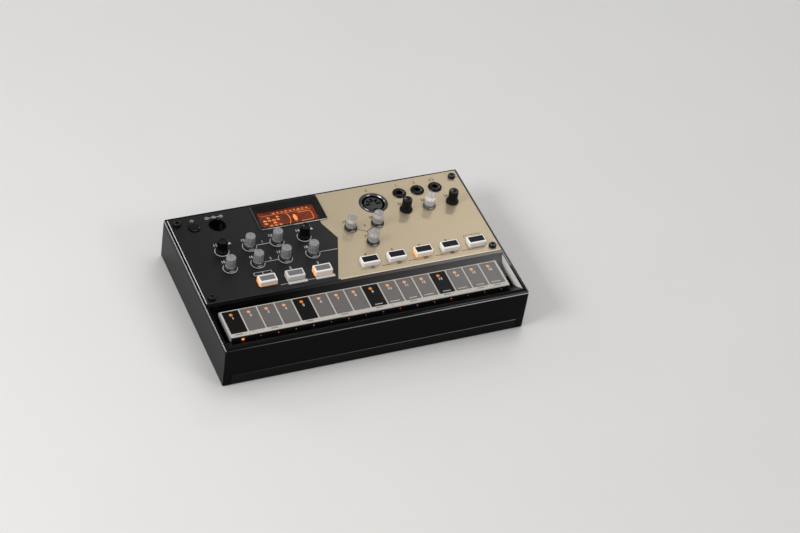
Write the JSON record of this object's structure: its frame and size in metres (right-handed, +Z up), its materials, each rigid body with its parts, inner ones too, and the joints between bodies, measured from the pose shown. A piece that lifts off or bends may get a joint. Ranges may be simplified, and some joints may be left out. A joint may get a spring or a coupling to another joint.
{
  "type": "drum machine",
  "caption": "Desktop drum machine with turning knobs, press keys, an amber display, a touch strip in a moulded trough and top sockets.",
  "frame": {"origin": "centre of the case's outline, on the table under the feet", "axes": "+X to the right end seen from the touch strip, +Y from the touch strip to the sockets, +Z up"},
  "size_m": [0.193, 0.115, 0.039],
  "materials": {
    "case_plastic": "polished black moulding",
    "cover_plastic": "black moulding with a fine texture",
    "panel_coating": "satin coat, dark on the left and gold on the right, with plain printed marks",
    "bezel_plastic": "glossy black",
    "window": "clear tinted acrylic",
    "display_glass": "liquid crystal glass with an amber lamp behind it",
    "touch_face": "clear acrylic with a printed back: grey and black pads, pale lines, plain numbers",
    "circuit_board": "green solder mask",
    "lamp_lens": "amber lamp lens",
    "cheek_silver": "satin silver paint",
    "control_body": "plated body of a turning control",
    "switch_body": "black switch housing",
    "black_steel": "blackened steel",
    "plain_steel": "zinc-plated steel",
    "foot_rubber": "dark rubber",
    "socket_plastic": "black socket moulding",
    "socket_shell": "nickel-plated ring",
    "contact_brass": "plated brass",
    "contact_steel": "nickel-plated steel",
    "speaker_paper": "coated paper cone",
    "cell_sleeve": "plain printed cell sleeve",
    "button_black": "glossy black",
    "knob_black": "black knob",
    "knob_clear": "clear acrylic knob with fine flutes",
    "key_white": "milky translucent cap with a printed field"
  },
  "bodies": {
    "case": {"upper_case": "case_plastic", "bottom_cover": "cover_plastic", "face_panel": "panel_coating", "display_bezel": "bezel_plastic", "display_window": "window", "display_module": "display_glass", "touch_plate": "touch_face", "touch_board": "circuit_board", "touch_carrier": "cover_plastic", "step_lamps": "lamp_lens", "cheek_left": "cheek_silver", "cheek_right": "cheek_silver", "main_board": "circuit_board", "potentiometers": "control_body", "key_switches": "switch_body", "face_screws": "black_steel", "bottom_screws": "plain_steel", "board_screws": "plain_steel", "rubber_feet": "foot_rubber", "midi_housing": "socket_plastic", "midi_shell": "socket_shell", "midi_contacts": "contact_brass", "power_socket": "socket_plastic", "power_socket_pin": "contact_steel", "power_switch": "switch_body", "speaker_basket": "plain_steel", "speaker_cone": "speaker_paper", "battery_cells": "cell_sleeve", "battery_contacts": "contact_steel", "sync_in_socket": "socket_plastic", "sync_out_socket": "socket_plastic", "headphone_socket": "socket_plastic"},
    "knob_level_body": {"knob_level": "knob_black"},
    "knob_pan_body": {"knob_pan": "knob_clear"},
    "knob_amount_body": {"knob_amount": "knob_clear"},
    "knob_rate_body": {"knob_rate": "knob_clear"},
    "knob_select_body": {"knob_select": "knob_black"},
    "knob_attack_body": {"knob_attack": "knob_clear"},
    "knob_release_body": {"knob_release": "knob_clear"},
    "knob_pitch_body": {"knob_pitch": "knob_clear"},
    "knob_decay_body": {"knob_decay": "knob_clear"},
    "knob_body_body": {"knob_body": "knob_clear"},
    "knob_tune_body": {"knob_tune": "knob_clear"},
    "knob_swing_body": {"knob_swing": "knob_black"},
    "knob_tempo_body": {"knob_tempo": "knob_clear"},
    "knob_volume_body": {"knob_volume": "knob_black"},
    "left_key_1_body": {"left_key_1": "key_white"},
    "left_key_2_body": {"left_key_2": "key_white"},
    "left_key_3_body": {"left_key_3": "key_white"},
    "right_key_1_body": {"right_key_1": "key_white"},
    "right_key_2_body": {"right_key_2": "key_white"},
    "right_key_3_body": {"right_key_3": "key_white"},
    "right_key_4_body": {"right_key_4": "key_white"},
    "right_key_5_body": {"right_key_5": "key_white"},
    "power_button_body": {"power_button": "button_black"},
    "battery_door_body": {"battery_door": "cover_plastic"}
  },
  "joints": [
    {"name": "turn_level", "type": "hinge", "parent": "case", "child": "knob_level_body", "pos_m": [-0.0715, 0.02182, 0.029], "axis": [0, 0, 1], "range_deg": [-140, 140]},
    {"name": "turn_pan", "type": "hinge", "parent": "case", "child": "knob_pan_body", "pos_m": [-0.0715, 0.00689, 0.029], "axis": [0, 0, 1], "range_deg": [-140, 140]},
    {"name": "turn_amount", "type": "hinge", "parent": "case", "child": "knob_amount_body", "pos_m": [-0.054, 0.02182, 0.029], "axis": [0, 0, 1], "range_deg": [-140, 140]},
    {"name": "turn_rate", "type": "hinge", "parent": "case", "child": "knob_rate_body", "pos_m": [-0.0365, 0.02182, 0.029], "axis": [0, 0, 1], "range_deg": [-140, 140]},
    {"name": "turn_select", "type": "hinge", "parent": "case", "child": "knob_select_body", "pos_m": [-0.019, 0.02182, 0.029], "axis": [0, 0, 1], "range_deg": [-140, 140]},
    {"name": "turn_attack", "type": "hinge", "parent": "case", "child": "knob_attack_body", "pos_m": [-0.054, 0.00689, 0.029], "axis": [0, 0, 1], "range_deg": [-140, 140]},
    {"name": "turn_release", "type": "hinge", "parent": "case", "child": "knob_release_body", "pos_m": [-0.0365, 0.00689, 0.029], "axis": [0, 0, 1], "range_deg": [-140, 140]},
    {"name": "turn_pitch", "type": "hinge", "parent": "case", "child": "knob_pitch_body", "pos_m": [-0.019, 0.00689, 0.029], "axis": [0, 0, 1], "range_deg": [-140, 140]},
    {"name": "turn_decay", "type": "hinge", "parent": "case", "child": "knob_decay_body", "pos_m": [0.0113, 0.02182, 0.029], "axis": [0, 0, 1], "range_deg": [-140, 140]},
    {"name": "turn_body", "type": "hinge", "parent": "case", "child": "knob_body_body", "pos_m": [0.0289, 0.02182, 0.029], "axis": [0, 0, 1], "range_deg": [-140, 140]},
    {"name": "turn_tune", "type": "hinge", "parent": "case", "child": "knob_tune_body", "pos_m": [0.0201, 0.00689, 0.029], "axis": [0, 0, 1], "range_deg": [-140, 140]},
    {"name": "turn_swing", "type": "hinge", "parent": "case", "child": "knob_swing_body", "pos_m": [0.0507, 0.0289, 0.029], "axis": [0, 0, 1], "range_deg": [-140, 140]},
    {"name": "turn_tempo", "type": "hinge", "parent": "case", "child": "knob_tempo_body", "pos_m": [0.06625, 0.0289, 0.029], "axis": [0, 0, 1], "range_deg": [-140, 140]},
    {"name": "turn_volume", "type": "hinge", "parent": "case", "child": "knob_volume_body", "pos_m": [0.0818, 0.0289, 0.029], "axis": [0, 0, 1], "range_deg": [-140, 140]},
    {"name": "press_left_key_1", "type": "slide", "parent": "case", "child": "left_key_1_body", "axis": [0, 0, -1], "range_m": [0, 0.0008], "stiffness_N_per_m": 300, "springref_m": -0.0005},
    {"name": "press_left_key_2", "type": "slide", "parent": "case", "child": "left_key_2_body", "axis": [0, 0, -1], "range_m": [0, 0.0008], "stiffness_N_per_m": 300, "springref_m": -0.0005},
    {"name": "press_left_key_3", "type": "slide", "parent": "case", "child": "left_key_3_body", "axis": [0, 0, -1], "range_m": [0, 0.0008], "stiffness_N_per_m": 300, "springref_m": -0.0005},
    {"name": "press_right_key_1", "type": "slide", "parent": "case", "child": "right_key_1_body", "axis": [0, 0, -1], "range_m": [0, 0.0008], "stiffness_N_per_m": 300, "springref_m": -0.0005},
    {"name": "press_right_key_2", "type": "slide", "parent": "case", "child": "right_key_2_body", "axis": [0, 0, -1], "range_m": [0, 0.0008], "stiffness_N_per_m": 300, "springref_m": -0.0005},
    {"name": "press_right_key_3", "type": "slide", "parent": "case", "child": "right_key_3_body", "axis": [0, 0, -1], "range_m": [0, 0.0008], "stiffness_N_per_m": 300, "springref_m": -0.0005},
    {"name": "press_right_key_4", "type": "slide", "parent": "case", "child": "right_key_4_body", "axis": [0, 0, -1], "range_m": [0, 0.0008], "stiffness_N_per_m": 300, "springref_m": -0.0005},
    {"name": "press_right_key_5", "type": "slide", "parent": "case", "child": "right_key_5_body", "axis": [0, 0, -1], "range_m": [0, 0.0008], "stiffness_N_per_m": 300, "springref_m": -0.0005},
    {"name": "press_power", "type": "slide", "parent": "case", "child": "power_button_body", "axis": [0, 0, -1], "range_m": [0, 0.0012], "stiffness_N_per_m": 300, "springref_m": -0.0005},
    {"name": "open_battery_door", "type": "hinge", "parent": "case", "child": "battery_door_body", "pos_m": [-0.024, 0.03725, 0.0015], "axis": [1, 0, 0], "range_deg": [0, 80]}
  ]
}
